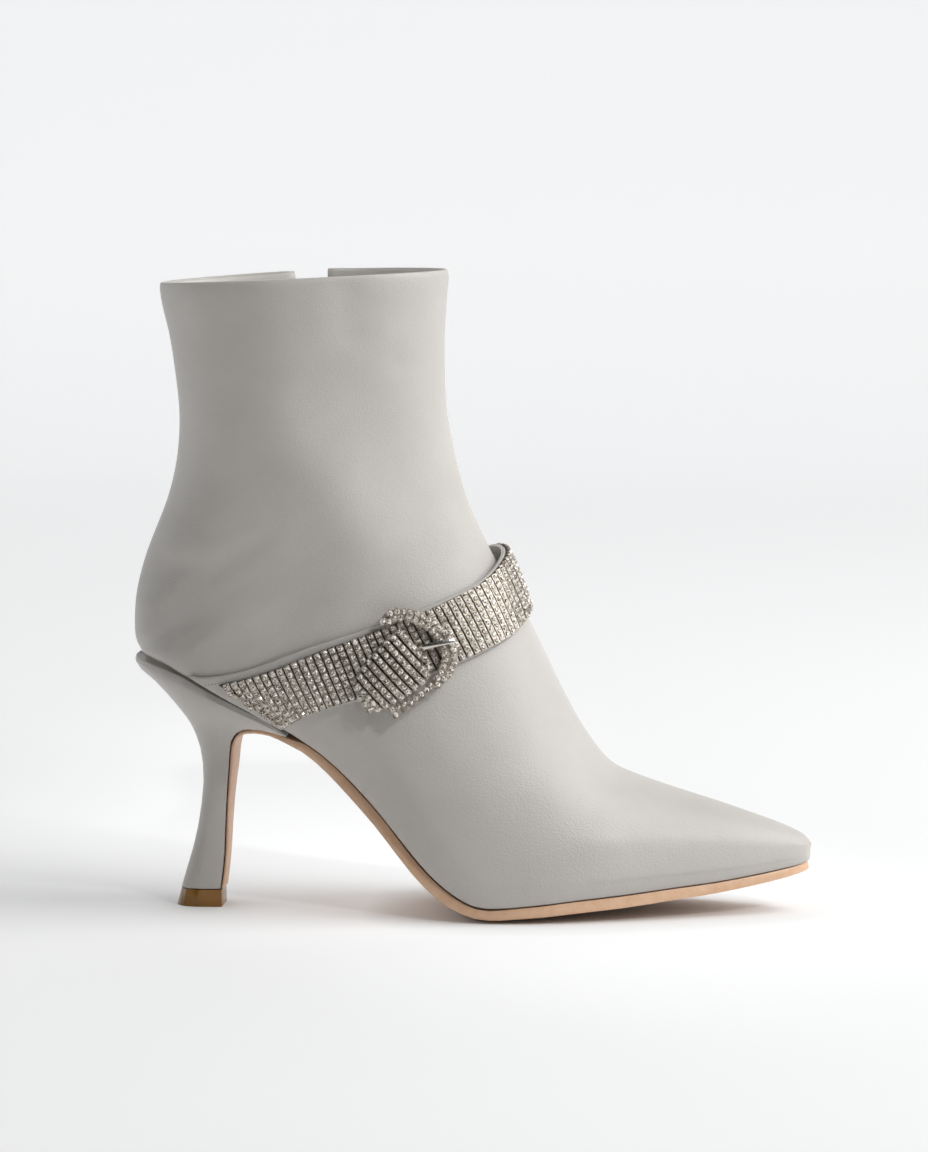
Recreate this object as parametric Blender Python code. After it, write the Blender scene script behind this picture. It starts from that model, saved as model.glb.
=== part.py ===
"""Right women's ankle boot with a pointed toe, a 90 mm covered heel and a crystal strap.

Metres, +Z up, +X to the toe, +Y to the inner (medial) side of the foot.
The origin is on the floor, under the heel tip. Tables are in millimetres.
"""

import math
from collections import namedtuple

import bmesh
import bpy
import numpy as np

MM = 0.001

# Driving dimensions, in millimetres
BALL_WIDTH = 77.0
WALL = 2.0
GAP = 0.35
ZIP_SLOT = 12.0
INSOLE = 2.4
ROW_STEP = 0.5
LOW_POINTS = 6
HIGH_POINTS = 8

for old in list(bpy.data.objects):
    bpy.data.objects.remove(old)


def smooth(xs, ys, x):
    """Read the smooth curve through the points (xs, ys) at x."""
    xs = np.asarray(xs, float)
    ys = np.asarray(ys, float)
    gaps = np.diff(xs)
    steps = np.diff(ys) / gaps
    slopes = np.empty(len(xs))
    slopes[0] = steps[0]
    slopes[-1] = steps[-1]
    slopes[1:-1] = (steps[:-1] * gaps[1:] + steps[1:] * gaps[:-1]) / (gaps[1:] + gaps[:-1])
    x = np.clip(x, xs[0], xs[-1])
    i = np.clip(np.searchsorted(xs, x) - 1, 0, len(xs) - 2)
    h = gaps[i]
    t = (x - xs[i]) / h
    start = ys[i] * (1 + 2 * t) * (1 - t) ** 2 + slopes[i] * h * t * (1 - t) ** 2
    end = ys[i + 1] * t * t * (3 - 2 * t) + slopes[i + 1] * h * t * t * (t - 1)
    return start + end


def read_row(table, s):
    """The row of a table at the place s, between two rows too."""
    index = range(len(table))
    return type(table[0])(*[float(smooth(index, column, s)) for column in zip(*table)])


# Sections of the upper from the toe back and then up to the collar. A section's plane holds the Y axis. It
# starts at low, on the feather line where the upper meets the sole (later the back seam), and ends at high, on
# the vamp ridge (later the shin). foot and centre are the feather line's half width and middle, ridge is how
# far the top leans to the inner side, wide is the half width as a share of half the ball width, belly is the
# share of the height where it is widest, and under and crown say how square the curve is below and above that.
Section = namedtuple("Section", "low_x low_z foot centre high_x high_z ridge wide belly under crown")
SECTIONS = [
    Section(219.5, 18.7, 0.0, 4.0, 220.3, 23.8, 4.0, 0.000, 0.50, 2.0, 2.0),
    Section(218.6, 18.3, 3.2, 4.0, 218.3, 27.0, 4.0, 0.112, 0.48, 2.0, 2.0),
    Section(215.4, 17.4, 6.2, 4.0, 214.3, 29.3, 4.0, 0.196, 0.44, 2.0, 2.0),
    Section(209.0, 16.3, 9.6, 3.9, 208.0, 32.0, 4.0, 0.294, 0.40, 1.9, 1.95),
    Section(199.0, 14.7, 13.8, 3.7, 198.0, 35.5, 4.0, 0.414, 0.36, 1.9, 1.9),
    Section(186.0, 12.9, 18.6, 3.4, 185.0, 39.9, 4.0, 0.552, 0.33, 1.8, 1.85),
    Section(171.0, 11.5, 23.8, 3.0, 171.2, 44.1, 4.0, 0.696, 0.31, 1.8, 1.85),
    Section(154.0, 9.7, 29.0, 2.4, 157.2, 48.9, 3.9, 0.836, 0.30, 1.8, 1.85),
    Section(136.0, 8.1, 33.2, 1.6, 147.7, 53.3, 3.7, 0.946, 0.28, 1.8, 1.85),
    Section(118.0, 6.2, 35.4, 0.7, 139.7, 62.9, 3.4, 1.000, 0.24, 1.8, 1.85),
    Section(101.0, 6.0, 34.4, -0.3, 132.3, 75.4, 3.0, 0.996, 0.23, 1.8, 1.85),
    Section(84.0, 17.1, 28.6, -1.6, 125.4, 89.6, 2.5, 0.940, 0.26, 1.8, 1.9),
    Section(65.0, 39.0, 21.2, -2.8, 118.9, 103.0, 2.0, 0.880, 0.30, 1.8, 1.9),
    Section(46.0, 57.6, 18.8, -2.8, 112.0, 115.7, 1.6, 0.850, 0.34, 1.8, 1.9),
    Section(27.0, 69.9, 22.8, -1.6, 106.0, 126.5, 1.2, 0.840, 0.35, 1.9, 1.9),
    Section(9.0, 79.4, 25.4, -0.6, 101.4, 135.5, 0.9, 0.835, 0.36, 2.0, 1.9),
    Section(-7.0, 88.2, 22.8, 0.0, 97.8, 143.3, 0.6, 0.830, 0.40, 2.1, 1.95),
    Section(-18.0, 92.0, 13.6, 0.0, 95.1, 150.5, 0.4, 0.830, 0.45, 2.3, 1.95),
    Section(-23.0, 93.2, 0.0, 0.0, 93.1, 157.1, 0.3, 0.835, 0.48, 2.4, 2.0),
    Section(-24.7, 103.4, 0.0, 0.0, 91.4, 164.3, 0.2, 0.840, 0.50, 2.4, 2.0),
    Section(-23.5, 115.4, 0.0, 0.0, 89.8, 172.2, 0.1, 0.845, 0.51, 2.35, 2.0),
    Section(-19.3, 131.0, 0.0, 0.0, 88.5, 180.2, 0.0, 0.850, 0.50, 2.3, 2.05),
    Section(-12.9, 147.0, 0.0, 0.0, 87.9, 188.6, 0.0, 0.860, 0.48, 2.25, 2.1),
    Section(-9.0, 162.0, 0.0, 0.0, 87.7, 197.4, 0.0, 0.875, 0.46, 2.2, 2.1),
    Section(-7.8, 178.0, 0.0, 0.0, 87.7, 206.6, 0.0, 0.895, 0.46, 2.2, 2.1),
    Section(-9.2, 193.6, 0.0, 0.0, 88.1, 214.9, 0.0, 0.915, 0.47, 2.2, 2.1),
    Section(-11.6, 208.9, 0.0, 0.0, 88.7, 222.7, 0.0, 0.935, 0.48, 2.2, 2.1),
    Section(-15.9, 226.1, 0.0, 0.0, 89.5, 230.7, 0.0, 0.955, 0.49, 2.2, 2.1),
]
BACK_ROW = 18
LAST_ROW = len(SECTIONS) - 1
ZIP_END = 15.5


def section_curve(s, angles):
    """Points of the upper's outer face on one section. An angle runs from -180 at the outer foot of the
    section, through -90 at its widest place and 0 on the ridge, to 180 at the inner foot."""
    row = read_row(SECTIONS, s)
    foot = max(row.foot, 0.0) if s < BACK_ROW else 0.0
    wide = max(row.wide, 0.0) * BALL_WIDTH / 2
    points = []
    for angle in angles:
        side = -1.0 if angle < 0 else 1.0
        turn = math.radians(abs(angle))
        if abs(angle) <= 90:
            along = row.belly + (1 - row.belly) * max(math.cos(turn), 0.0) ** (2 / row.crown)
            half = wide * math.sin(turn) ** (2 / row.crown)
        else:
            along = row.belly * (1 - max(-math.cos(turn), 0.0) ** (2 / row.under))
            half = foot + (wide - foot) * max(math.sin(turn), 0.0) ** (2 / row.under)
        lean = row.centre + (row.ridge - row.centre) * along
        points.append((
            row.low_x + (row.high_x - row.low_x) * along,
            lean + side * half,
            row.low_z + (row.high_z - row.low_z) * along,
        ))
    return points


def upper_angles(s):
    """Angles of the upper's columns, with one column on each side of the zip's slot."""
    row = read_row(SECTIONS, s)
    length = math.hypot(row.high_x - row.low_x, row.high_z - row.low_z)
    low_share = min(0.5 * ZIP_SLOT / (row.belly * length), 0.3)
    high_share = min(0.5 * ZIP_SLOT / ((1 - row.belly) * length), 0.3)
    low_edge = math.degrees(math.acos(-low_share ** (row.under / 2)))
    high_edge = math.degrees(math.acos(high_share ** (row.crown / 2)))
    low = [180 + (low_edge - 180) * k / (LOW_POINTS - 1) for k in range(LOW_POINTS)]
    high = [high_edge * (1 - k / (HIGH_POINTS - 1)) for k in range(HIGH_POINTS)]
    half = low + high
    return [-a for a in half[:-1]] + half[::-1]


def grid_normals(points):
    """Outward unit normals of a grid of points."""
    along = np.gradient(points, axis=0)
    across = np.gradient(points, axis=1)
    normals = np.cross(across, along)
    return normals / np.maximum(np.linalg.norm(normals, axis=2, keepdims=True), 1e-9)


def add_material(slot, colour, roughness, metallic=0.0):
    material = bpy.data.materials.new(slot)
    material.use_nodes = True
    shader = material.node_tree.nodes["Principled BSDF"]
    shader.inputs["Base Color"].default_value = (*colour, 1.0)
    shader.inputs["Roughness"].default_value = roughness
    shader.inputs["Metallic"].default_value = metallic
    material.diffuse_color = (*colour, 1.0)
    return material


def add_solid(name, points, faces, material, round_angle=40):
    """One closed solid from points in millimetres and faces, its doubled points joined."""
    mesh = bpy.data.meshes.new(name)
    mesh.from_pydata([tuple(c * MM for c in p) for p in points], [], faces)
    work = bmesh.new()
    work.from_mesh(mesh)
    bmesh.ops.remove_doubles(work, verts=work.verts, dist=1e-6)
    bmesh.ops.dissolve_degenerate(work, edges=work.edges, dist=1e-6)
    bmesh.ops.recalc_face_normals(work, faces=work.faces)
    for face in work.faces:
        face.smooth = True
    for edge in work.edges:
        if len(edge.link_faces) == 2:
            edge.smooth = edge.calc_face_angle(0.0) < math.radians(round_angle)
    work.to_mesh(mesh)
    work.free()
    mesh.materials.append(material)
    part = bpy.data.objects.new(name, mesh)
    bpy.context.scene.collection.objects.link(part)
    return part


def shell_faces(rows, columns):
    """Quads of a grid whose points are numbered row by row."""
    return [
        (r * columns + c, r * columns + c + 1, (r + 1) * columns + c + 1, (r + 1) * columns + c)
        for r in range(rows - 1)
        for c in range(columns - 1)
    ]


def add_sheet(name, low, high, material, round_angle=40):
    """A solid between two grids of points of the same size, closed along its four edges."""
    rows, columns, _ = low.shape
    points = np.concatenate([low.reshape(-1, 3), high.reshape(-1, 3)])
    count = rows * columns
    faces = shell_faces(rows, columns)
    faces += [tuple(i + count for i in face[::-1]) for face in faces]
    border = [c for c in range(columns)]
    border += [r * columns + columns - 1 for r in range(1, rows)]
    border += [(rows - 1) * columns + c for c in range(columns - 2, -1, -1)]
    border += [r * columns for r in range(rows - 2, 0, -1)]
    for a, b in zip(border, border[1:] + border[:1]):
        faces.append((b, a, a + count, b + count))
    return add_solid(name, points, faces, material, round_angle)


def add_rings(name, rings, material, round_angle=40, cap_rows=False):
    """A solid through closed rings of points. With cap_rows the last ring is closed in strips across."""
    rings = np.asarray(rings)
    count, size, _ = rings.shape
    faces = []
    for r in range(count - 1):
        for k in range(size):
            n = (k + 1) % size
            faces.append((r * size + k, r * size + n, (r + 1) * size + n, (r + 1) * size + k))
    faces.append(tuple(range(size))[::-1])
    top = (count - 1) * size
    if cap_rows:
        faces.append((top, top + 1, top + size - 1))
        for k in range(1, size // 2 - 1):
            faces.append((top + k, top + k + 1, top + size - k - 1, top + size - k))
        faces.append((top + size // 2 - 1, top + size // 2, top + size // 2 + 1))
    else:
        faces.append(tuple(range(top, top + size)))
    return add_solid(name, rings.reshape(-1, 3), faces, material, round_angle)


leather_upper = add_material("leather_upper", (0.42, 0.39, 0.36), 0.45)
leather_sole = add_material("leather_sole", (0.55, 0.40, 0.28), 0.55)
leather_heel = add_material("leather_heel", (0.42, 0.39, 0.36), 0.45)
rubber_tip = add_material("rubber_tip", (0.30, 0.12, 0.04), 0.3)
sock_lining = add_material("sock_lining", (0.72, 0.66, 0.60), 0.6)

# Upper: the outer grid of the sections, an inner grid one wall further in, and the edges between them
steps = np.arange(0, LAST_ROW + 0.01, ROW_STEP)
outer = np.array([section_curve(s, upper_angles(s)) for s in steps])
rows, columns, _ = outer.shape
normals = grid_normals(outer)
normals[0] = normals[0] + normals[0, ::-1]
normals[0, columns // 2] = normals[0, columns // 2 - 1]
closed = steps >= BACK_ROW
seam = normals[closed, 0] + normals[closed, -1]
normals[closed, 0] = seam
normals[closed, -1] = seam
normals /= np.linalg.norm(normals, axis=2, keepdims=True)
inner = outer - WALL * normals
count = rows * columns
slot = HIGH_POINTS - 1 + columns // 2
zip_row = int(round(ZIP_END / ROW_STEP))
upper_faces = []
for r in range(rows - 1):
    for c in range(columns - 1):
        if c == slot and r >= zip_row:
            continue
        quad = (r * columns + c, r * columns + c + 1, (r + 1) * columns + c + 1, (r + 1) * columns + c)
        upper_faces.append(quad)
        upper_faces.append(tuple(i + count for i in quad[::-1]))
    edges = [0, columns - 1] if steps[r] < BACK_ROW else []
    if r >= zip_row:
        edges += [slot, slot + 1]
    for c in edges:
        a = r * columns + c
        upper_faces.append((a, a + columns, a + columns + count, a + count))
for c in range(columns - 1):
    if c != slot:
        a = (rows - 1) * columns + c
        upper_faces.append((a, a + 1, a + 1 + count, a + count))
a = zip_row * columns + slot
upper_faces.append((a, a + 1, a + 1 + count, a + count))
upper_points = np.concatenate([outer.reshape(-1, 3), inner.reshape(-1, 3)])
upper = add_solid("upper", upper_points, upper_faces, leather_upper, 50)

# The feather line as functions of x, for the sole, the insole and the heel
feather_rows = [read_row(SECTIONS, s) for s in np.linspace(BACK_ROW, 0, 721)]
feather_x = [row.low_x for row in feather_rows]


def feather(name, x):
    return np.interp(x, feather_x, [getattr(row, name) for row in feather_rows])


def path_normals(path):
    """Unit normals of a path in the XZ plane, on the foot's side of it."""
    along = np.gradient(np.asarray(path, float), axis=0)
    across = np.stack([along[:, 1], -along[:, 0]], axis=1)
    return across / np.linalg.norm(across, axis=1, keepdims=True)


# Outsole: under the feather line it is given by x, then it leaves it, runs under the heel's front wedge and
# turns down the heel breast. lift is how far the middle of the sole hangs below its edge.
Sole = namedtuple("Sole", "x thick half lift")
SOLE = [
    Sole(219.7, 3.0, 1.2, 0.2),
    Sole(218.4, 2.9, 3.5, 0.4),
    Sole(215.0, 2.8, 6.6, 0.6),
    Sole(209.0, 3.0, 9.9, 0.8),
    Sole(199.0, 3.3, 14.1, 1.0),
    Sole(186.0, 3.6, 18.9, 1.2),
    Sole(171.0, 3.9, 24.1, 1.5),
    Sole(154.0, 4.1, 29.3, 1.9),
    Sole(136.0, 4.0, 33.5, 2.6),
    Sole(124.0, 3.75, 35.3, 3.0),
    Sole(114.0, 3.5, 35.6, 3.3),
    Sole(106.0, 3.3, 35.2, 3.4),
    Sole(98.0, 3.6, 33.7, 2.9),
    Sole(90.0, 4.1, 31.1, 1.8),
    Sole(81.0, 3.8, 27.6, 0.9),
    Sole(72.0, 3.75, 23.9, 0.5),
    Sole(63.0, 3.8, 20.9, 0.3),
    Sole(54.0, 3.6, 19.3, 0.2),
    Sole(46.0, 3.2, 19.1, 0.1),
    Sole(40.0, 2.9, 20.2, 0.0),
]
Flap = namedtuple("Flap", "x z thick half centre")
FLAP = [
    Flap(32.0, 62.4, 1.9, 20.6, -1.6),
    Flap(26.0, 64.0, 1.4, 15.6, -1.0),
    Flap(20.0, 64.6, 1.2, 14.2, -0.6),
    Flap(15.6, 63.8, 1.1, 13.0, -0.3),
    Flap(13.1, 61.2, 0.9, 12.1, -0.1),
    Flap(12.1, 57.0, 0.8, 11.4, 0.0),
    Flap(11.6, 51.0, 0.8, 10.3, 0.0),
    Flap(10.9, 45.0, 0.8, 8.7, 0.0),
    Flap(10.2, 37.0, 0.8, 7.2, 0.0),
    Flap(9.7, 29.0, 0.8, 6.2, 0.0),
    Flap(9.3, 21.0, 0.8, 5.6, 0.0),
    Flap(8.6, 13.0, 0.8, 5.4, 0.0),
    Flap(7.7, 6.6, 0.8, 5.8, 0.0),
]
sole_rows = [read_row(SOLE, s) for s in np.arange(0, len(SOLE) - 0.99, ROW_STEP)]
flap_rows = [read_row(FLAP, s) for s in np.arange(0, len(FLAP) - 0.99, ROW_STEP)]
edge = [(row.x, feather("low_z", row.x)) for row in sole_rows]
edge_normals = path_normals(edge)
path = [np.array(p) - (GAP + row.thick) * n for p, row, n in zip(edge, sole_rows, edge_normals)]
path += [np.array([row.x, row.z]) for row in flap_rows]
normals_2d = path_normals(path)
thick = [row.thick for row in sole_rows + flap_rows]
half = [row.half for row in sole_rows + flap_rows]
centre = [feather("centre", row.x) for row in sole_rows] + [row.centre for row in flap_rows]
lift = [row.lift for row in sole_rows] + [0.0] * len(flap_rows)
BOTTOM = (-1.0, -0.92, -0.75, -0.5, -0.2, 0.2, 0.5, 0.75, 0.92, 1.0)
TOP = (1.0, 0.5, 0.0, -0.5, -1.0)
sole_rings = []
for p, n, t, h, c, hang in zip(path, normals_2d, thick, half, centre, lift):
    ring = []
    for share in BOTTOM:
        drop = hang * (1 - abs(share) ** 3)
        z = max(p[1] - n[1] * drop, 0.0)
        ring.append((p[0] - n[0] * drop, c + share * h, z))
    ring.append((p[0] + n[0] * t / 2, c + h + 0.3, p[1] + n[1] * t / 2))
    for share in TOP:
        ring.append((p[0] + n[0] * t, c + share * h, p[1] + n[1] * t))
    ring.append((p[0] + n[0] * t / 2, c - h - 0.3, p[1] + n[1] * t / 2))
    sole_rings.append(ring)
outsole = add_rings("outsole", sole_rings, leather_sole, 40)

# Insole: inside the wall, a little above the feather line
outline = np.array([(row.low_x, row.foot) for row in feather_rows])
inward = path_normals(outline)
inset = outline + (WALL + 0.8) * inward
inset_x = np.array(inset[:, 0])
insole_x = [-19.8, -19.2, -17.6, -14.0, -9.0, -3.0, 5.0, 14.0, 23.0, 32.0, 41.0, 50.0, 58.0, 66.0, 74.0, 81.0]
insole_x += [87.0, 93.0, 99.0, 105.0, 113.0, 123.0, 135.0, 147.0, 159.0, 171.0, 183.0, 194.0, 203.0, 209.0]
insole_x += [213.0, 215.6]
low_path = np.array([(x, feather("low_z", x)) for x in insole_x])
low_normals = -path_normals(low_path)
insole_low = []
insole_high = []
for p, n in zip(low_path, low_normals):
    h = max(np.interp(p[0], inset_x, inset[:, 1]), 1.0)
    c = feather("centre", p[0])
    low = p + n * GAP
    high = p + n * (GAP + INSOLE)
    insole_low.append([(low[0], c + h * share, low[1]) for share in TOP])
    insole_high.append([(high[0], c + h * share, high[1]) for share in TOP])
insole = add_sheet("insole", np.array(insole_low), np.array(insole_high), sock_lining, 50)

# Heel: rings from its foot up to the seat. A ring runs from back to front, widest is the share of that where
# it reaches its half width, front is the half width left at the breast. seat says how much the ring follows
# the feather line instead, out how far outside it.
HeelRing = namedtuple("HeelRing", "back_x back_z front_x front_z half widest front seat out")
HEEL = [
    HeelRing(-8.4, 6.6, 6.4, 6.6, 7.2, 0.55, 0.92, 0.0, 0.0),
    HeelRing(-6.4, 13.4, 7.3, 13.4, 7.0, 0.55, 0.93, 0.0, 0.0),
    HeelRing(-4.1, 21.0, 8.0, 21.0, 7.1, 0.58, 0.94, 0.0, 0.0),
    HeelRing(-2.2, 29.0, 8.4, 29.0, 7.7, 0.62, 0.95, 0.0, 0.0),
    HeelRing(-0.9, 37.0, 8.9, 37.0, 8.7, 0.68, 0.95, 0.0, 0.0),
    HeelRing(-0.1, 45.0, 9.6, 44.8, 9.9, 0.72, 0.95, 0.0, 0.0),
    HeelRing(-0.3, 52.0, 10.3, 51.2, 11.1, 0.76, 0.96, 0.0, 0.0),
    HeelRing(-1.2, 58.0, 10.8, 56.8, 12.4, 0.78, 0.96, 0.0, 0.0),
    HeelRing(-2.8, 63.0, 11.5, 61.4, 14.2, 0.78, 0.95, 0.0, 0.0),
    HeelRing(-5.4, 68.2, 14.2, 64.9, 16.6, 0.72, 0.86, 0.0, 0.0),
    HeelRing(-9.1, 73.2, 18.4, 66.1, 19.3, 0.64, 0.76, 0.1, 0.0),
    HeelRing(-13.5, 78.4, 23.2, 66.1, 21.9, 0.60, 0.70, 0.3, 0.2),
    HeelRing(-18.2, 83.2, 27.8, 65.6, 24.0, 0.56, 0.68, 0.6, 0.6),
    HeelRing(-23.4, 87.4, 31.6, 65.0, 25.4, 0.52, 0.70, 0.9, 1.1),
    HeelRing(-24.9, 89.8, 33.0, 64.9, 25.6, 0.50, 0.72, 1.0, 1.3),
    HeelRing(-24.5, 91.4, 33.2, 65.2, 25.6, 0.50, 0.72, 1.0, 1.2),
    HeelRing(-22.9, 92.7, 33.2, 65.9, 25.6, 0.50, 0.72, 1.0, -0.4),
]
SEAT_BACK = -23.0
SEAT_FRONT = 33.4
SIDE_POINTS = 11


def heel_ring(row):
    """One closed ring of the heel, from the back along the outer side to the breast and back on the inner."""
    side = []
    for k in range(SIDE_POINTS + 1):
        u = 1 - math.cos(k / SIDE_POINTS * math.pi / 2)
        if u < row.widest:
            width = (1 - (1 - u / row.widest) ** 2.2) ** (1 / 2.2)
        else:
            width = 1 - (1 - row.front) * ((u - row.widest) / (1 - row.widest)) ** 1.5
        seat_x = SEAT_BACK + (SEAT_FRONT - SEAT_BACK) * u
        chord = feather("low_z", SEAT_BACK) * (1 - u) + feather("low_z", SEAT_FRONT) * u
        seat_half = 0.0 if k == 0 else feather("foot", seat_x) + row.out
        x = row.back_x + (row.front_x - row.back_x) * u
        y = row.half * width * (1 - row.seat) + seat_half * row.seat
        z = row.back_z + (row.front_z - row.back_z) * u + row.seat * (feather("low_z", seat_x) - chord)
        side.append((x, y, z, row.seat * feather("centre", seat_x)))
    ring = [(x, c - y, z) for x, y, z, c in side]
    ring.append((side[-1][0], side[-1][3], side[-1][2]))
    ring += [(x, c + y, z) for x, y, z, c in side[:0:-1]]
    return ring


heel_steps = sorted(list(range(len(HEEL))) + [8.5, 9.5])
heel = add_rings("heel", [heel_ring(read_row(HEEL, s)) for s in heel_steps], leather_heel, 40, cap_rows=True)

TIP = [
    HeelRing(-10.0, 0.0, 7.1, 0.0, 7.4, 0.55, 0.93, 0.0, 0.0),
    HeelRing(-8.4, 6.2, 7.0, 6.2, 7.2, 0.55, 0.93, 0.0, 0.0),
]
heel_tip = add_rings("heel_tip", [heel_ring(row) for row in TIP], rubber_tip, 40)

leather_strap = add_material("leather_strap", (0.46, 0.43, 0.40), 0.45)
crystal = add_material("crystal", (0.62, 0.58, 0.53), 0.2, 0.6)
silver = add_material("silver", (0.75, 0.74, 0.72), 0.25, 1.0)
zip_metal = add_material("zip_metal", (0.70, 0.69, 0.67), 0.3, 1.0)
zip_tape = add_material("zip_tape", (0.40, 0.37, 0.34), 0.8)

# Strap over the instep: its two edges as places on the upper's sections, by the angle round the section from the
# outer side (negative) to the inner side, how far it stands off the leather at each edge, and the plain leather
# above its crystals
StrapEdge = namedtuple("StrapEdge", "angle top bottom top_off bottom_off margin")
STRAP = [
    StrapEdge(-168.0, 15.85, 13.82, 0.0, 0.0, 3.0),
    StrapEdge(-155.0, 15.55, 13.80, 0.0, 0.0, 3.0),
    StrapEdge(-141.0, 15.35, 13.76, 0.0, 0.0, 3.0),
    StrapEdge(-125.0, 15.17, 13.66, 0.0, 0.0, 3.0),
    StrapEdge(-105.0, 15.00, 13.44, 0.0, 0.0, 3.0),
    StrapEdge(-88.0, 14.82, 13.22, 0.0, 0.0, 2.4),
    StrapEdge(-75.0, 14.50, 13.00, 0.0, 0.0, 1.9),
    StrapEdge(-60.0, 14.18, 12.69, 0.1, 0.0, 1.3),
    StrapEdge(-45.0, 13.95, 12.43, 0.4, 0.0, 1.2),
    StrapEdge(-28.0, 13.80, 12.24, 1.7, 0.1, 0.9),
    StrapEdge(-12.0, 13.97, 12.27, 2.6, 0.2, 0.5),
    StrapEdge(0.0, 14.16, 12.37, 3.0, 0.2, 0.4),
    StrapEdge(12.0, 14.40, 12.56, 3.0, 0.2, 0.4),
    StrapEdge(28.0, 14.55, 12.74, 2.4, 0.1, 0.5),
    StrapEdge(45.0, 14.48, 12.88, 1.2, 0.0, 0.8),
    StrapEdge(60.0, 14.55, 13.02, 0.4, 0.0, 1.3),
    StrapEdge(75.0, 14.72, 13.20, 0.0, 0.0, 1.9),
    StrapEdge(88.0, 14.92, 13.32, 0.0, 0.0, 2.4),
    StrapEdge(105.0, 15.02, 13.46, 0.0, 0.0, 3.0),
    StrapEdge(125.0, 15.17, 13.66, 0.0, 0.0, 3.0),
    StrapEdge(141.0, 15.35, 13.76, 0.0, 0.0, 3.0),
    StrapEdge(155.0, 15.55, 13.80, 0.0, 0.0, 3.0),
    StrapEdge(168.0, 15.85, 13.82, 0.0, 0.0, 3.0),
]
STRAP_WIDTH = 23.0
STRAP_THICK = 1.4
STRAP_END = 163.0
STONES_THICK = 1.8
BUCKLE_ANGLE = -72.0
STRAP_ANGLES = [row.angle for row in STRAP]


def strap_edge(name, angle):
    return smooth(STRAP_ANGLES, [getattr(row, name) for row in STRAP], angle)


def skin_point(angle, share, lift):
    """A point over the upper: share runs from 0 at the strap's top edge to 1 at its bottom edge."""
    s = strap_edge("top", angle) * (1 - share) + strap_edge("bottom", angle) * share
    off = strap_edge("top_off", angle) * (1 - share ** 2) + strap_edge("bottom_off", angle) * share ** 2
    here = np.array(section_curve(s, [angle - 2, angle, angle + 2]))
    ahead = np.array(section_curve(s + 0.1, [angle]))
    normal = np.cross(here[2] - here[0], ahead[0] - here[1])
    return here[1] + normal / np.linalg.norm(normal) * (lift + off)


mid_angles = np.arange(-170.0, 170.1, 2.0)
mid_line = np.array([skin_point(a, 0.5, 0.0) for a in mid_angles])
mid_length = np.concatenate([[0.0], np.cumsum(np.linalg.norm(np.diff(mid_line, axis=0), axis=1))])
mid_length = mid_length - np.interp(BUCKLE_ANGLE, mid_angles, mid_length)


def strap_point(along, across, lift):
    """A point over the strap, along it from the buckle's middle to the front, and across it upward."""
    return skin_point(np.interp(along, mid_length, mid_angles), 0.5 - across / STRAP_WIDTH, lift)


def strap_sheet(name, rows_of_points, low, high, material, round_angle=40):
    """A solid that lies on the strap: rows of (along, across) points between two lifts over the leather."""
    bottom = np.array([[strap_point(p, q, low) for p, q in row] for row in rows_of_points])
    top = np.array([[strap_point(p, q, high) for p, q in row] for row in rows_of_points])
    return add_sheet(name, bottom, top, material, round_angle)


band_angles = [-STRAP_END, -156, -147, -137, -126, -114, -102, -90, -80, -70, -60, -50, -40, -31, -23, -15, -7]
band_angles += [0]
band_angles += [-a for a in band_angles[-2::-1]]
shares = (0.0, 0.25, 0.5, 0.75, 1.0)
band_low = np.array([[skin_point(a, v, GAP) for v in shares] for a in band_angles])
band_high = np.array([[skin_point(a, v, GAP + STRAP_THICK) for v in shares] for a in band_angles])
strap = add_sheet("strap", band_low, band_high, leather_strap, 50)

# Crystal panel on the strap. Its ends are cut on the slant, as the strap's own ends are.
stones_low_lift = 2 * GAP + STRAP_THICK
stones_high_lift = stones_low_lift + STONES_THICK
stone_angles = [-147, -137, -126, -114, -102, -90, -80, -70, -60, -50, -40, -31, -23, -15, -7, 0]
stone_angles += [-a for a in stone_angles[-2::-1]]
panel_low = []
panel_high = []
for a in stone_angles:
    stone_shares = np.linspace(strap_edge("margin", a) / STRAP_WIDTH, 0.985, 5)
    slant = [a * (1 + 0.05 * v) if abs(a) > 140 else a for v in stone_shares]
    panel_low.append([skin_point(b, v, stones_low_lift) for b, v in zip(slant, stone_shares)])
    panel_high.append([skin_point(b, v, stones_high_lift) for b, v in zip(slant, stone_shares)])
strap_stones = add_sheet("strap_stones", np.array(panel_low), np.array(panel_high), crystal, 50)

# Buckle: an open round frame over the strap, its outer and inner edge
Frame = namedtuple("Frame", "outer_p outer_q inner_p inner_q")
BUCKLE = [
    Frame(3.0, 12.4, 3.4, 9.0),
    Frame(5.6, 15.3, 6.2, 10.6),
    Frame(9.2, 15.9, 8.6, 10.6),
    Frame(12.8, 13.4, 10.6, 8.8),
    Frame(15.6, 8.8, 12.2, 5.6),
    Frame(17.2, 3.4, 13.2, 1.8),
    Frame(17.6, -2.4, 13.4, -2.4),
    Frame(16.4, -8.0, 12.2, -6.4),
    Frame(13.0, -12.2, 9.4, -9.8),
    Frame(8.4, -14.6, 5.8, -12.1),
    Frame(2.6, -16.2, 1.8, -13.9),
    Frame(-4.6, -17.4, -4.9, -15.6),
    Frame(-11.4, -18.4, -11.6, -16.3),
    Frame(-18.3, -18.6, -18.3, -16.5),
]
frame_low_lift = stones_high_lift + GAP
frame_high_lift = frame_low_lift + 2.5
frame_rows = []
for s in np.arange(0, len(BUCKLE) - 0.99, 0.5):
    row = read_row(BUCKLE, s)
    frame_rows.append([
        (row.inner_p + (row.outer_p - row.inner_p) * t, row.inner_q + (row.outer_q - row.inner_q) * t)
        for t in (0.0, 0.5, 1.0)
    ])
buckle_frame = strap_sheet("buckle_frame", frame_rows, frame_low_lift, frame_high_lift, crystal, 50)

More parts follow.
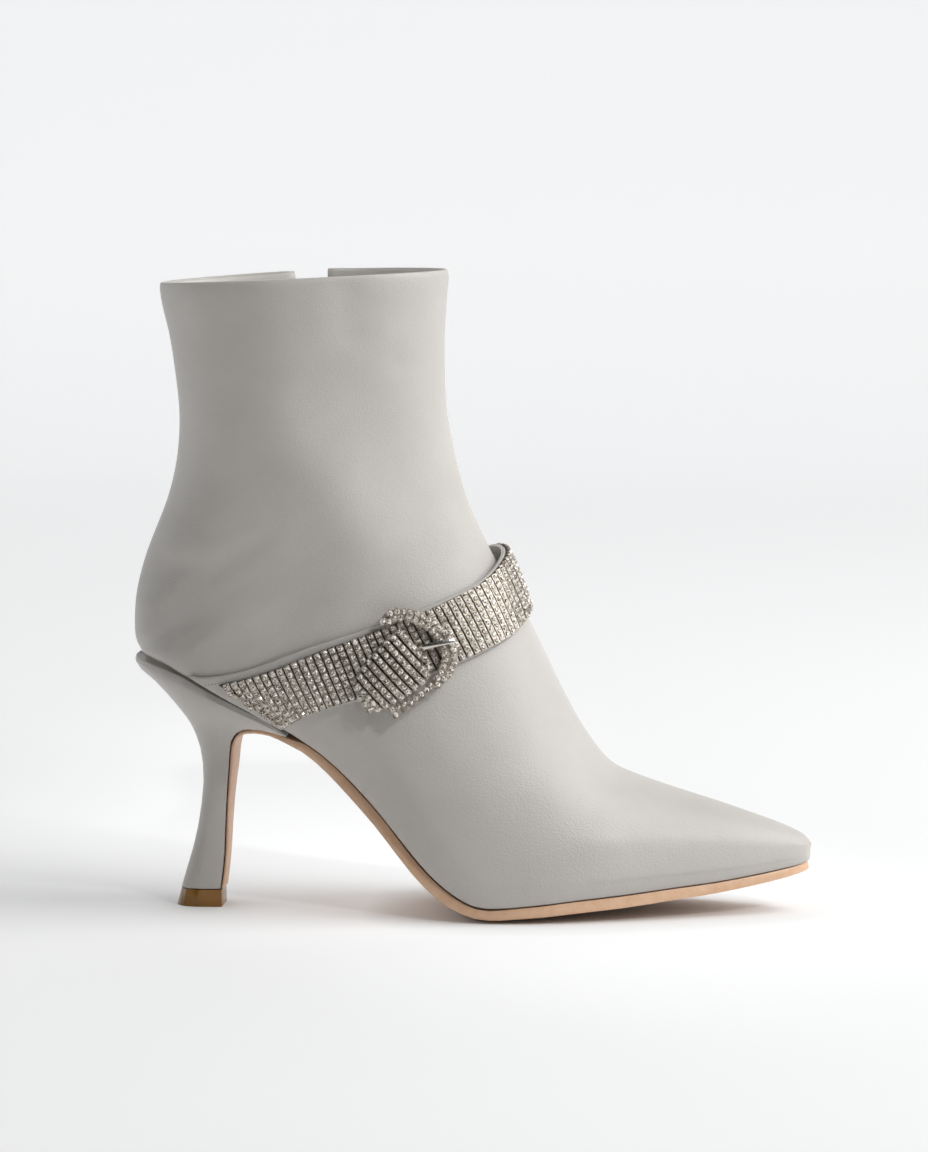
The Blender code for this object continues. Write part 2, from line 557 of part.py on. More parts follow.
# Free end of the strap, through the buckle and down to the left, its upper and its lower edge and its swell
Tip = namedtuple("Tip", "upper_p upper_q lower_p lower_q swell")
STRAP_TIP = [
    Tip(8.0, 8.4, 4.4, -11.4, 1.8),
    Tip(4.6, 7.0, 1.4, -13.0, 2.3),
    Tip(0.4, 5.4, -3.0, -14.5, 2.7),
    Tip(-6.2, 2.1, -9.0, -15.3, 2.8),
    Tip(-13.1, -0.9, -15.0, -15.8, 2.8),
    Tip(-18.5, -4.2, -20.5, -16.3, 2.7),
    Tip(-23.6, -9.0, -25.5, -16.9, 2.5),
    Tip(-27.6, -13.6, -29.6, -17.4, 2.3),
]
tip_low = []
tip_high = []
for s in np.arange(0, len(STRAP_TIP) - 0.99, 0.5):
    row = read_row(STRAP_TIP, s)
    low_points = []
    high_points = []
    for t in (0.0, 0.15, 0.4, 0.6, 0.85, 1.0):
        p = row.upper_p + (row.lower_p - row.upper_p) * t
        q = row.upper_q + (row.lower_q - row.upper_q) * t
        low_points.append(strap_point(p, q, frame_low_lift))
        high_points.append(strap_point(p, q, frame_low_lift + row.swell * (1 - 0.35 * abs(2 * t - 1) ** 3)))
    tip_low.append(low_points)
    tip_high.append(high_points)
strap_end = add_sheet("strap_tip", np.array(tip_low), np.array(tip_high), crystal, 50)

# Prong: a flat bar from the strap's hole to its rest on the frame
PRONG_THICK = 1.1
PRONG_HALF = 0.75
Prong = namedtuple("Prong", "p q lift")
PRONG = [
    Prong(7.0, -2.9, 1.6),
    Prong(9.2, -3.2, 2.2),
    Prong(12.4, -3.7, 2.9),
    Prong(14.6, -4.1, 2.9),
    Prong(17.2, -4.6, 2.9),
]
prong_low = []
prong_high = []
for p, q, lift in PRONG:
    edges = [q + PRONG_HALF, q, q - PRONG_HALF]
    prong_low.append([strap_point(p, e, frame_low_lift + lift) for e in edges])
    prong_high.append([strap_point(p, e, frame_low_lift + lift + PRONG_THICK) for e in edges])
prong = add_sheet("buckle_prong", np.array(prong_low), np.array(prong_high), silver, 50)

# Zip: a strip of tape with the closed chain along its middle, in the slot of the upper
TAPE_INSET = 0.45
CHAIN_HALF = 2.6
TOP_STOP = 0.14
zip_s = np.append(np.arange(ZIP_END + 0.1, LAST_ROW - TOP_STOP, 0.5), LAST_ROW - TOP_STOP)


def zip_frame(s):
    """Middle of the slot, the step to its front edge and the outward normal at the place s."""
    edges = [[np.interp(s, steps, grid[:, c, k]) for k in range(3)] for grid, c in (
        (outer, slot), (outer, slot + 1), (normals, slot), (normals, slot + 1))]
    front, back, front_normal, back_normal = [np.array(e) for e in edges]
    normal = front_normal + back_normal
    return (front + back) / 2, (front - back) / 2, normal / np.linalg.norm(normal)


zip_rings = []
for s in zip_s:
    middle, side, normal = zip_frame(s)
    unit = side / np.linalg.norm(side)
    tape_half = np.linalg.norm(side) - TAPE_INSET
    profile = [
        (-tape_half, -1.75), (tape_half, -1.75), (tape_half, -0.95), (CHAIN_HALF, -0.95),
        (CHAIN_HALF, 0.15), (-CHAIN_HALF, 0.15), (-CHAIN_HALF, -0.95), (-tape_half, -0.95),
    ]
    zip_rings.append([middle + unit * u + normal * w for u, w in profile])
zip_strip = add_rings("zip_strip", zip_rings, zip_tape, 30)

# Guard flap behind the zip, sewn to the lining on its back side
GUARD_THICK = 1.0
GUARD_GAP = 0.8
guard_low = []
guard_high = []
for s in zip_s[2:]:
    angles = upper_angles(s)
    front_angle, back_angle = angles[slot], angles[slot + 1]
    reach = [front_angle - 5, front_angle, (front_angle + back_angle) / 2, back_angle, back_angle + 9]
    here = np.array([section_curve(s, reach), section_curve(s + 0.05, reach)])
    flat = grid_normals(here)[0]
    guard_high.append(here[0] - flat * (WALL + GUARD_GAP))
    guard_low.append(here[0] - flat * (WALL + GUARD_GAP + GUARD_THICK))
guard = add_sheet("zip_guard", np.array(guard_low), np.array(guard_high), leather_strap, 50)

# Slider at the top of the closed zip: a body with a bridge that the pull's bar passes under
SLIDER_S = LAST_ROW - 0.62
slider_at, slider_side, slider_out = zip_frame(SLIDER_S)
slider_front = slider_side / np.linalg.norm(slider_side)
slider_up = np.cross(slider_front, slider_out)
slider_up = slider_up * (1 if slider_up[2] > 0 else -1)


def add_box_run(name, outline, half, place, material):
    """A straight bar: an outline in the (up, out) plane carried across to both sides."""
    points = [place(-half, up, out) for up, out in outline] + [place(half, up, out) for up, out in outline]
    size = len(outline)
    faces = [tuple(range(size)), tuple(range(2 * size - 1, size - 1, -1))]
    faces += [(k, (k + 1) % size, (k + 1) % size + size, k + size) for k in range(size)]
    return add_solid(name, points, faces, material, 30)


def on_slider(front, up, out):
    return slider_at + slider_front * front + slider_up * up + slider_out * out


body_outline = [(-4.6, 0.5), (4.2, 0.5), (4.8, 1.1), (4.2, 1.9), (-4.6, 1.9), (-5.0, 1.2)]
zip_slider = add_box_run("zip_slider", body_outline, 3.6, on_slider, zip_metal)
bridge_outline = [(-3.8, 1.8), (-2.8, 1.8), (-2.6, 3.5), (2.6, 3.5), (2.8, 1.8), (3.8, 1.8), (3.4, 4.5)]
bridge_outline += [(-3.4, 4.5)]
bridge = add_box_run("slider_bridge", bridge_outline, 0.7, on_slider, zip_metal)
join = zip_slider.modifiers.new("bridge", "BOOLEAN")
join.operation = "UNION"
join.object = bridge
bpy.context.view_layer.objects.active = zip_slider
bpy.ops.object.modifier_apply(modifier="bridge")
bpy.data.objects.remove(bridge)

# Pull tab, hanging straight down from its bar under the bridge: half width by height, with the bridge's hole
Pull = namedtuple("Pull", "up half")
PULL = [
    Pull(0.5, 2.1),
    Pull(-0.4, 2.2),
    Pull(-5.2, 2.3),
    Pull(-6.6, 2.0),
    Pull(-9.0, 1.7),
    Pull(-15.0, 2.4),
    Pull(-21.0, 2.9),
    Pull(-23.0, 2.5),
    Pull(-24.0, 1.4),
]
PULL_THICK = 0.8
PULL_HOLE = 1.25
pivot = on_slider(0.0, 0.0, 2.75)
pull_points = []
for out in (-PULL_THICK / 2, PULL_THICK / 2):
    for row in PULL:
        for x in (-row.half, -min(PULL_HOLE, row.half * 0.6), min(PULL_HOLE, row.half * 0.6), row.half):
            pull_points.append(pivot + np.array([x, out, row.up]))
face_count = len(PULL) * 4
pull_faces = []
for r in range(len(PULL) - 1):
    for c in range(3):
        if (r, c) == (1, 1):
            continue
        quad = (r * 4 + c, r * 4 + c + 1, r * 4 + c + 5, r * 4 + c + 4)
        pull_faces.append(quad)
        pull_faces.append(tuple(i + face_count for i in quad[::-1]))
    pull_faces.append((r * 4, r * 4 + 4, r * 4 + 4 + face_count, r * 4 + face_count))
    pull_faces.append((r * 4 + 3, r * 4 + 7, r * 4 + 7 + face_count, r * 4 + 3 + face_count))
for a, b in ((5, 6), (6, 10), (10, 9), (9, 5)):
    pull_faces.append((a, b, b + face_count, a + face_count))
for r in (0, len(PULL) - 1):
    for c in range(3):
        a = r * 4 + c
        pull_faces.append((a, a + 1, a + 1 + face_count, a + face_count))
zip_pull = add_solid("zip_pull", pull_points, pull_faces, zip_metal, 30)
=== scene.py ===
"""The look of the heeled ankle boot: nappa, sole leather, crystals and zip, in a pale photo studio."""

import math
import random

import bpy
from mathutils import Matrix, Vector
from mathutils.bvhtree import BVHTree


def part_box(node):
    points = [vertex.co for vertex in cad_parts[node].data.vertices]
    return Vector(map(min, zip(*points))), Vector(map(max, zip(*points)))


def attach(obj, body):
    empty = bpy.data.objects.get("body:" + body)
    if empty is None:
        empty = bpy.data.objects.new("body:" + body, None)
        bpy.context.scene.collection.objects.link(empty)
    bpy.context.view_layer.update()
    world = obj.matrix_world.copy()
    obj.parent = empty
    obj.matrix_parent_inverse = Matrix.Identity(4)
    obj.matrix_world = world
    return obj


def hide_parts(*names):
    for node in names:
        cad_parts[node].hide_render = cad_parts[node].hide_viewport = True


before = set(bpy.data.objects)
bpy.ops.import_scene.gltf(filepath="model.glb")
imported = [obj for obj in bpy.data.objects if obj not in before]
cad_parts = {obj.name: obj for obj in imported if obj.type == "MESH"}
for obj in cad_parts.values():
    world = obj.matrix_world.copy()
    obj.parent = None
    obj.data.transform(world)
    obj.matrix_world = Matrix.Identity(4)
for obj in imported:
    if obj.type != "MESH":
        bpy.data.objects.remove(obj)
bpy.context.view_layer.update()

# Upper: one hide of grey nappa, aniline dyed with a thin satin finish, wetted and drawn over a last, then turned
# in over the lining at the collar. A fine pebble grain shows, stretched smooth over the toe and the heel, and the
# shaft keeps the soft folds of leather that nothing stiffens.
MM = 0.001
random.seed(7)


def linear(code):
    """A hex colour as linear RGBA."""
    values = [int(code[i:i + 2], 16) / 255 for i in (0, 2, 4)]
    return [v / 12.92 if v <= 0.04045 else ((v + 0.055) / 1.055) ** 2.4 for v in values] + [1.0]


def add_node(tree, kind, inputs=None, **settings):
    """A shader node with its settings, its input values and its links."""
    node = tree.nodes.new(kind)
    for name, value in settings.items():
        setattr(node, name, value)
    for name, value in (inputs or {}).items():
        if isinstance(value, bpy.types.NodeSocket):
            tree.links.new(value, node.inputs[name])
        else:
            node.inputs[name].default_value = value
    return node


def new_material(name):
    material = bpy.data.materials.new(name)
    material.use_nodes = True
    return material, material.node_tree, material.node_tree.nodes["Principled BSDF"]


def select_only(piece):
    bpy.ops.object.select_all(action="DESELECT")
    piece.select_set(True)
    bpy.context.view_layer.objects.active = piece


def copy_node(name, node, material, quads=True):
    """A free copy of a CAD node in a new material, merged, its triangles joined to quads again."""
    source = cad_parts[node]
    piece = bpy.data.objects.new(name, source.data.copy())
    piece.data.transform(source.matrix_world)
    bpy.context.scene.collection.objects.link(piece)
    piece.data.materials.clear()
    piece.data.materials.append(material)
    select_only(piece)
    bpy.ops.object.mode_set(mode="EDIT")
    bpy.ops.mesh.select_all(action="SELECT")
    bpy.ops.mesh.remove_doubles(threshold=0.00001)
    if quads:
        bpy.ops.mesh.tris_convert_to_quads(face_threshold=math.radians(45), shape_threshold=math.radians(70))
    bpy.ops.object.mode_set(mode="OBJECT")
    return piece


def finish_node(piece, node, body="boot"):
    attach(piece, body)
    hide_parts(node)


def smooth_through(piece, levels, sharp=35):
    """Subdivides a copied grid so that its smooth skin still passes through the points of the CAD form."""
    select_only(piece)
    mesh = piece.data
    goals = [v.co.copy() for v in mesh.vertices]
    face_of = [None] * len(goals)
    flat = [True] * len(goals)
    for face in mesh.polygons:
        for v in face.vertices:
            if face_of[v] is None:
                face_of[v] = face.normal.copy()
            elif face_of[v].angle(face.normal, 0.0) > math.radians(sharp):
                flat[v] = False
    subdivision = piece.modifiers.new("smooth", "SUBSURF")
    subdivision.levels = levels
    subdivision.render_levels = levels
    for turn in range(5):
        smooth = piece.evaluated_get(bpy.context.evaluated_depsgraph_get()).data
        shifts = [goal - smooth.vertices[k].co for k, goal in enumerate(goals)]
        for k, shift in enumerate(shifts):
            if flat[k]:
                mesh.vertices[k].co += 1.2 * shift
        mesh.update()
        bpy.context.view_layer.update()
    bpy.ops.object.modifier_apply(modifier="smooth")
    bpy.ops.object.shade_smooth()


def round_edges(piece, width, angle=40, segments=2):
    select_only(piece)
    bevel = piece.modifiers.new("edge", "BEVEL")
    bevel.width = width * MM
    bevel.segments = segments
    bevel.limit_method = "ANGLE"
    bevel.angle_limit = math.radians(angle)
    bpy.ops.object.modifier_apply(modifier="edge")


GRAIN_WIDTH = 0.62
PORE_WIDTH = 0.3
nappa, tree, shader = new_material("nappa")
place = add_node(tree, "ShaderNodeTexCoord").outputs["Object"]
pebbles = add_node(tree, "ShaderNodeTexVoronoi", {"Vector": place, "Scale": 1 / (GRAIN_WIDTH * MM), "Randomness": 1.0},
                   feature="SMOOTH_F1")
pores = add_node(tree, "ShaderNodeTexNoise", {"Vector": place, "Scale": 1 / (PORE_WIDTH * MM), "Detail": 2.0})
cloud = add_node(tree, "ShaderNodeTexNoise", {"Vector": place, "Scale": 30.0, "Detail": 4.0, "Roughness": 0.6})
tone = add_node(tree, "ShaderNodeValToRGB", {"Fac": cloud.outputs["Fac"]})
tone.color_ramp.elements[0].position = 0.3
tone.color_ramp.elements[0].color = linear("b4b0ab")
tone.color_ramp.elements[1].position = 0.7
tone.color_ramp.elements[1].color = linear("bcb8b3")
tree.links.new(tone.outputs["Color"], shader.inputs["Base Color"])
gloss = add_node(tree, "ShaderNodeMapRange", {"Value": cloud.outputs["Fac"], "To Min": 0.38, "To Max": 0.50})
tree.links.new(gloss.outputs["Result"], shader.inputs["Roughness"])
stretch = add_node(tree, "ShaderNodeTexNoise", {"Vector": place, "Scale": 22.0, "Detail": 2.0})
depth = add_node(tree, "ShaderNodeMapRange", {
    "Value": stretch.outputs["Fac"], "From Min": 0.3, "From Max": 0.7, "To Min": 0.3, "To Max": 0.5})
grain = add_node(tree, "ShaderNodeBump", {
    "Height": pebbles.outputs["Distance"], "Strength": depth.outputs["Result"], "Distance": 0.25 * MM})
fine = add_node(tree, "ShaderNodeBump", {
    "Height": pores.outputs["Fac"], "Normal": grain.outputs["Normal"], "Strength": 0.2, "Distance": 0.1 * MM})
tree.links.new(fine.outputs["Normal"], shader.inputs["Normal"])
shader.inputs["IOR"].default_value = 1.5
shader.inputs["Specular IOR Level"].default_value = 0.42
shader.inputs["Sheen Weight"].default_value = 0.06
shader.inputs["Sheen Roughness"].default_value = 0.5

# Lining: pale undyed kid leather, drum dyed and left matte, so it is lighter and duller than the nappa
lining, tree, shader = new_material("kid_lining")
place = add_node(tree, "ShaderNodeTexCoord").outputs["Object"]
cloud = add_node(tree, "ShaderNodeTexNoise", {"Vector": place, "Scale": 60.0, "Detail": 4.0})
tone = add_node(tree, "ShaderNodeValToRGB", {"Fac": cloud.outputs["Fac"]})
tone.color_ramp.elements[0].color = linear("cbc8c3")
tone.color_ramp.elements[1].color = linear("dad7d2")
tree.links.new(tone.outputs["Color"], shader.inputs["Base Color"])
pores = add_node(tree, "ShaderNodeTexNoise", {"Vector": place, "Scale": 1 / (0.5 * MM), "Detail": 2.0})
fine = add_node(tree, "ShaderNodeBump", {"Height": pores.outputs["Fac"], "Strength": 0.15, "Distance": 0.1 * MM})
tree.links.new(fine.outputs["Normal"], shader.inputs["Normal"])
shader.inputs["Roughness"].default_value = 0.6

# The middle line of the foot and the leg, which tells the wall's outer side from its inner side
SPINE = [(38, 0, 232), (37, 0, 205), (37, 0, 180), (36, 0, 150), (36, 0, 118), (58, 0, 86), (86, 0, 58), (112, 1, 40),
         (140, 2, 31), (170, 3, 27), (200, 4, 24), (214, 4, 23)]
spine = [Vector(p) * MM for p in SPINE]


def nearest_on_spine(point):
    best = None
    for a, b in zip(spine, spine[1:]):
        share = max(0.0, min(1.0, (point - a).dot(b - a) / (b - a).length_squared))
        near = a + (b - a) * share
        if best is None or (near - point).length < (best - point).length:
            best = near
    return best


def relax(piece, chosen, turns):
    """Evens out the chosen points of a copied grid, as leather drawn over a last evens out."""
    select_only(piece)
    bpy.ops.object.mode_set(mode="EDIT")
    bpy.ops.mesh.select_mode(type="VERT")
    bpy.ops.mesh.select_all(action="DESELECT")
    bpy.ops.object.mode_set(mode="OBJECT")
    for point in piece.data.vertices:
        point.select = chosen(point.co / MM)
    bpy.ops.object.mode_set(mode="EDIT")
    bpy.ops.mesh.vertices_smooth(factor=0.5, repeat=turns)
    bpy.ops.object.mode_set(mode="OBJECT")


# Evened out over the counter, clear of the slit, and over the toe, clear of the feather line
upper = copy_node("upper_leather", "upper", nappa)
upper.data.materials.append(lining)
relax(upper, lambda p: -15 < p.x < (42 if p.y < 0 else 18) and 99 < p.z < 130 and abs(p.y) > 8, 8)
relax(upper, lambda p: p.x > 150 and p.z > 19 + 0.09 * (p.x - 150), 2)

# The rim rises a little on the inner side, most in its middle, and the slit keeps crisp edges
RIM_RISE = 1.6
RIM_START = 205
for point in upper.data.vertices:
    x, y, z = point.co / MM
    if y > 0 and z > RIM_START:
        along = min(1.0, max(0.0, (x + 20) / 115))
        point.co.z += RIM_RISE * MM * min(1.0, (z - RIM_START) / 20) * math.sin(math.pi * along)
select_only(upper)
bpy.ops.object.mode_set(mode="EDIT")
bpy.ops.mesh.select_mode(type="EDGE")
bpy.ops.mesh.select_all(action="DESELECT")
bpy.ops.mesh.edges_select_sharp(sharpness=math.radians(40))
bpy.ops.object.mode_set(mode="OBJECT")
for edge in upper.data.edges:
    ends = [upper.data.vertices[v].co / MM for v in edge.vertices]
    edge.select = edge.select and all(20 < p.x < 55 and p.y > 15 for p in ends)
bpy.ops.object.mode_set(mode="EDIT")
bpy.ops.transform.edge_crease(value=0.9)
bpy.ops.object.mode_set(mode="OBJECT")
for face in upper.data.polygons:
    out = face.center - nearest_on_spine(face.center)
    face.material_index = 0 if face.normal.dot(out.normalized()) > -0.12 else 1
smooth_through(upper, 2)

# Soft folds of the shaft and the break over the instep. Each runs from one (x, z) to another on the outer (-1) or
# inner (1) side, with its half width and its depth in millimetres. A ridge has a negative depth.
FOLDS = [
    ((26, 228), (28, 196), -1, 15, -1.2),
    ((55, 228), (58, 205), -1, 7, 1.1),
    ((62, 216), (85, 217), -1, 6, 0.6),
    ((70, 197), (88, 198), -1, 3, 0.4),
    ((24, 186), (70, 128), -1, 16, -2.8),
    ((-4, 132), (46, 108), -1, 11, 1.1),
    ((12, 222), (20, 182), 1, 8, 0.6),
    ((58, 220), (64, 184), 1, 9, 0.6),
    ((0, 168), (40, 160), 1, 8, 0.5),
]
for point in upper.data.vertices:
    spot = point.co / MM
    shift = 0.0
    for (ax, az), (bx, bz), side, half, deep in FOLDS:
        if spot.y * side < 5:
            continue
        run = Vector((bx - ax, bz - az))
        rel = Vector((spot.x - ax, spot.z - az))
        share = rel.dot(run) / run.length_squared
        gap = (rel - run * max(0.0, min(1.0, share))).length / half
        near_end = min(1.0, max(0.0, (0.7 - abs(share - 0.5)) / 0.4))
        shift += deep * math.exp(-gap * gap) * near_end * near_end * (3 - 2 * near_end)
    point.co.y -= math.copysign(1, spot.y) * shift * MM
finish_node(upper, "upper")

# Sock: a pale leather sock glued over the insole board, a little wider than the board so that its edge lies tight
# against the lining
SOCK_SPREAD = 1.06
sock = copy_node("sock", "insole", lining)
for point in sock.data.vertices:
    point.co.y *= SOCK_SPREAD
smooth_through(sock, 1)
finish_node(sock, "insole")

# Outsole: thin vegetable tanned sole leather, waxed and polished tan. It is worked thin through the arch and carried
# on down the heel breast as a glued flap.
sole_leather, tree, shader = new_material("waxed_sole_leather")
place = add_node(tree, "ShaderNodeTexCoord").outputs["Object"]
fibre = add_node(tree, "ShaderNodeTexNoise", {"Vector": place, "Scale": 260.0, "Detail": 5.0, "Roughness": 0.65})
tone = add_node(tree, "ShaderNodeValToRGB", {"Fac": fibre.outputs["Fac"]})
tone.color_ramp.elements[0].position = 0.3
tone.color_ramp.elements[0].color = linear("cfa684")
tone.color_ramp.elements[1].position = 0.75
tone.color_ramp.elements[1].color = linear("dfbb9d")
tree.links.new(tone.outputs["Color"], shader.inputs["Base Color"])
nap = add_node(tree, "ShaderNodeBump", {"Height": fibre.outputs["Fac"], "Strength": 0.12, "Distance": 0.1 * MM})
tree.links.new(nap.outputs["Normal"], shader.inputs["Normal"])
shader.inputs["Roughness"].default_value = 0.45
shader.inputs["IOR"].default_value = 1.5
NOSE_START = 206
NOSE_LENGTH = 15
NOSE_SETBACK = 1.6
outsole = copy_node("outsole_leather", "outsole", sole_leather)
for point in outsole.data.vertices:
    ahead = max(0.0, point.co.x / MM - NOSE_START) / NOSE_LENGTH
    point.co.x -= NOSE_SETBACK * MM * ahead * ahead
round_edges(outsole, 0.25)
bpy.ops.object.shade_smooth()
finish_node(outsole, "outsole")

# Heel: a moulded block wrapped in the upper's own nappa, the cover drawn tight and turned in at seat and foot. The
# seat's lip is worked up against the upper on both sides, so only a thin line shows between them.
LIP_RISE = 1.1
LIP_LEAN = 0.3
heel = copy_node("heel_cover", "heel", nappa)
facing = {v.index: [] for v in heel.data.vertices}
for face in heel.data.polygons:
    for v in face.vertices:
        facing[v].append(face.normal.z)
for point in heel.data.vertices:
    if point.co.z > 0.066 and max(facing[point.index]) > 0.3 and min(map(abs, facing[point.index])) < 0.5:
        share = min(1.0, max(0.0, (point.co.x / MM + 20) / 15))
        point.co.z += LIP_RISE * share * MM
        point.co.y -= math.copysign(LIP_LEAN * share * MM, point.co.y)
round_edges(heel, 0.2, 38)
bpy.ops.object.shade_smooth_by_angle(angle=math.radians(50))
finish_node(heel, "heel")

# Heel tip: a top piece of amber brown polyurethane, pinned on, ground flush and polished
amber, tree, shader = new_material("amber_polyurethane")
place = add_node(tree, "ShaderNodeTexCoord").outputs["Object"]
cloud = add_node(tree, "ShaderNodeTexNoise", {"Vector": place, "Scale": 160.0, "Detail": 3.0})
tone = add_node(tree, "ShaderNodeValToRGB", {"Fac": cloud.outputs["Fac"]})
tone.color_ramp.elements[0].color = linear("6e4802")
tone.color_ramp.elements[1].color = linear("9a6806")
tree.links.new(tone.outputs["Color"], shader.inputs["Base Color"])
shader.inputs["Roughness"].default_value = 0.3
shader.inputs["IOR"].default_value = 1.5
shader.inputs["Coat Weight"].default_value = 0.3
shader.inputs["Coat Roughness"].default_value = 0.15
tip = copy_node("tip_block", "heel_tip", amber)
round_edges(tip, 0.3, 30)
finish_node(tip, "heel_tip")

# Strap: a band of the upper's leather folded over a stay tape, its edges turned under and glued, caught in at the
# feather line on both sides
band = copy_node("strap_band", "strap", nappa)
round_edges(band, 0.45, 50)
smooth_through(band, 1)
finish_node(band, "strap")

# Crystals: clear cut glass stones, foiled behind, each in a small tin-plated brass cup. The cups stand in columns
# across the strap with a dark gap between columns, on a dull metal mesh painted dark as shade. Each facet gets a
# random painted shade, from dark to a painted highlight, in place of the light it would catch as it turns.
painted_facet_light, tree, shader = new_material("foiled_glass_painted_facets")
shade = add_node(tree, "ShaderNodeVertexColor", layer_name="painted_facet_light")
# Painted reflections: the ramp turns each facet's random value into a painted shade, from dark brown to a near-white
# painted highlight
tone = add_node(tree, "ShaderNodeValToRGB", {"Fac": shade.outputs["Color"]})
tone.color_ramp.elements[0].position = 0.0
tone.color_ramp.elements[0].color = linear("4b433a")
tone.color_ramp.elements[1].position = 1.0
tone.color_ramp.elements[1].color = linear("fffdf8")
for position, code in ((0.25, "847b6f"), (0.5, "b8b0a5"), (0.75, "e6e1d8")):
    tone.color_ramp.elements.new(position).color = linear(code)
tree.links.new(tone.outputs["Color"], shader.inputs["Base Color"])
shader.inputs["Roughness"].default_value = 0.1
shader.inputs["IOR"].default_value = 1.55

cup_metal, tree, shader = new_material("tin_plated_cup")
place = add_node(tree, "ShaderNodeTexCoord").outputs["Object"]
mottle = add_node(tree, "ShaderNodeTexNoise", {"Vector": place, "Scale": 900.0, "Detail": 3.0})
tone = add_node(tree, "ShaderNodeValToRGB", {"Fac": mottle.outputs["Fac"]})
tone.color_ramp.elements[0].position = 0.35
tone.color_ramp.elements[0].color = linear("857a6c")
tone.color_ramp.elements[1].position = 0.7
tone.color_ramp.elements[1].color = linear("d5ccc0")
tree.links.new(tone.outputs["Color"], shader.inputs["Base Color"])
shader.inputs["Metallic"].default_value = 0.6
shader.inputs["Roughness"].default_value = 0.38

# Ground between the columns: the same metal as a mesh, painted near black as the shade that fills the gaps between the
# columns, mottled at random
painted_shade_metal, tree, shader = new_material("mesh_painted_shade")
place = add_node(tree, "ShaderNodeTexCoord").outputs["Object"]
mottle = add_node(tree, "ShaderNodeTexNoise", {"Vector": place, "Scale": 1100.0, "Detail": 3.0})
tone = add_node(tree, "ShaderNodeValToRGB", {"Fac": mottle.outputs["Fac"]})
tone.color_ramp.elements[0].position = 0.35
tone.color_ramp.elements[0].color = linear("2b241d")
tone.color_ramp.elements[1].position = 0.7
tone.color_ramp.elements[1].color = linear("5d5246")
tree.links.new(tone.outputs["Color"], shader.inputs["Base Color"])
shader.inputs["Metallic"].default_value = 0.6
shader.inputs["Roughness"].default_value = 0.55

STONE_PITCH = 2.42
COLUMN_PITCH = 2.9
GIRDLE = 1.15
TABLE = 0.62
CROWN = 0.55
CUP = 1.17
BED_DEPTH = 1.1

bpy.ops.object.select_all(action="DESELECT")
bpy.ops.mesh.primitive_cube_add(size=1.0, location=(0, 0, -0.85 * MM), scale=(2 * CUP * MM, 2 * CUP * MM, 0.9 * MM))
cup = bpy.context.active_object
cup.data.materials.append(painted_facet_light)
cup.data.materials.append(cup_metal)
for face in cup.data.polygons:
    face.material_index = 1
bpy.ops.object.select_all(action="DESELECT")
bpy.ops.mesh.primitive_cone_add(vertices=8, radius1=GIRDLE * MM, radius2=TABLE * MM, depth=CROWN * MM,
                                end_fill_type="TRIFAN", location=(0, 0, -0.5 * CROWN * MM))
stone = bpy.context.active_object
stone.data.materials.append(painted_facet_light)
bpy.ops.object.mode_set(mode="EDIT")
bpy.ops.mesh.select_all(action="DESELECT")
bpy.ops.object.mode_set(mode="OBJECT")
for face in stone.data.polygons:
    face.select = face.normal.z < -0.5
bpy.ops.object.mode_set(mode="EDIT")
bpy.ops.mesh.delete(type="FACE")
bpy.ops.object.mode_set(mode="OBJECT")
cup.select_set(True)
bpy.context.view_layer.objects.active = cup
bpy.ops.object.join()
bpy.ops.object.transform_apply()
template = cup


def skin_of(node):
    """The skin of a CAD node, to set small pieces on."""
    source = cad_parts[node]
    points = [source.matrix_world @ v.co for v in source.data.vertices]
    return BVHTree.FromPolygons(points, [face.vertices for face in source.data.polygons])


def turned_to(point, out, up):
    """A place for a copy: its Z turned outward, its Y along up."""
    side = up.cross(out).normalized()
    ahead = out.cross(side).normalized()
    turn = Matrix((side, ahead, out)).transposed().to_4x4()
    return Matrix.Translation(point) @ turn


def set_copies(name, source, places, node, body="boot"):
    """One piece of copies of a small template, one at each place, each face given a random value, which the glass
    turns into a painted shade between dark and a painted highlight.
    """
    points = []
    faces = []
    slots = []
    for place in places:
        start = len(points)
        points += [place @ v.co for v in source.data.vertices]
        faces += [[start + v for v in face.vertices] for face in source.data.polygons]
        slots += [face.material_index for face in source.data.polygons]
    mesh = bpy.data.meshes.new(name)
    mesh.from_pydata(points, [], faces)
    for material in source.data.materials:
        mesh.materials.append(material)
    mesh.polygons.foreach_set("material_index", slots)
    painted_shades = mesh.color_attributes.new("painted_facet_light", "FLOAT_COLOR", "CORNER")
    values = []
    for face in mesh.polygons:
        value = random.random()
        values += [value, value, value, 1.0] * face.loop_total
    painted_shades.data.foreach_set("color", values)
    mesh.update()
    piece = bpy.data.objects.new(name, mesh)
    bpy.context.scene.collection.objects.link(piece)
    finish_node(piece, node, body)
    return piece


def sink_bed(name, node, outward, depth, inset=1.0, metal=painted_shade_metal):
    """The metal mesh under the stones, painted dark as shade unless another metal is given: a copy of the CAD slab
    drawn in a little, its outer face let down by depth.
    """
    bed = copy_node(name, node, metal)
    heart = sum((point.co for point in bed.data.vertices), Vector()) / len(bed.data.vertices)
    for point in bed.data.vertices:
        point.co.x = heart.x + (point.co.x - heart.x) * inset
        point.co.z = heart.z + (point.co.z - heart.z) * inset
    for face in bed.data.polygons:
        face.select = face.normal.dot(outward(face.center)) > 0.6
    for edge in bed.data.edges:
        edge.select = False
    for point in bed.data.vertices:
        point.select = False
    bpy.ops.object.mode_set(mode="EDIT")
    bpy.ops.mesh.select_mode(type="FACE")
    bpy.ops.transform.shrink_fatten(value=-depth * MM)
    bpy.ops.object.mode_set(mode="OBJECT")
    finish_node(bed, node)
    return bed


STRAP_RISE = math.radians(24)
strap_along = Vector((math.cos(STRAP_RISE), 0, math.sin(STRAP_RISE)))
strap_across = Vector((-math.sin(STRAP_RISE), 0, math.cos(STRAP_RISE)))
STRAP_MIDDLE = 96.0
panel = skin_of("strap_stones")


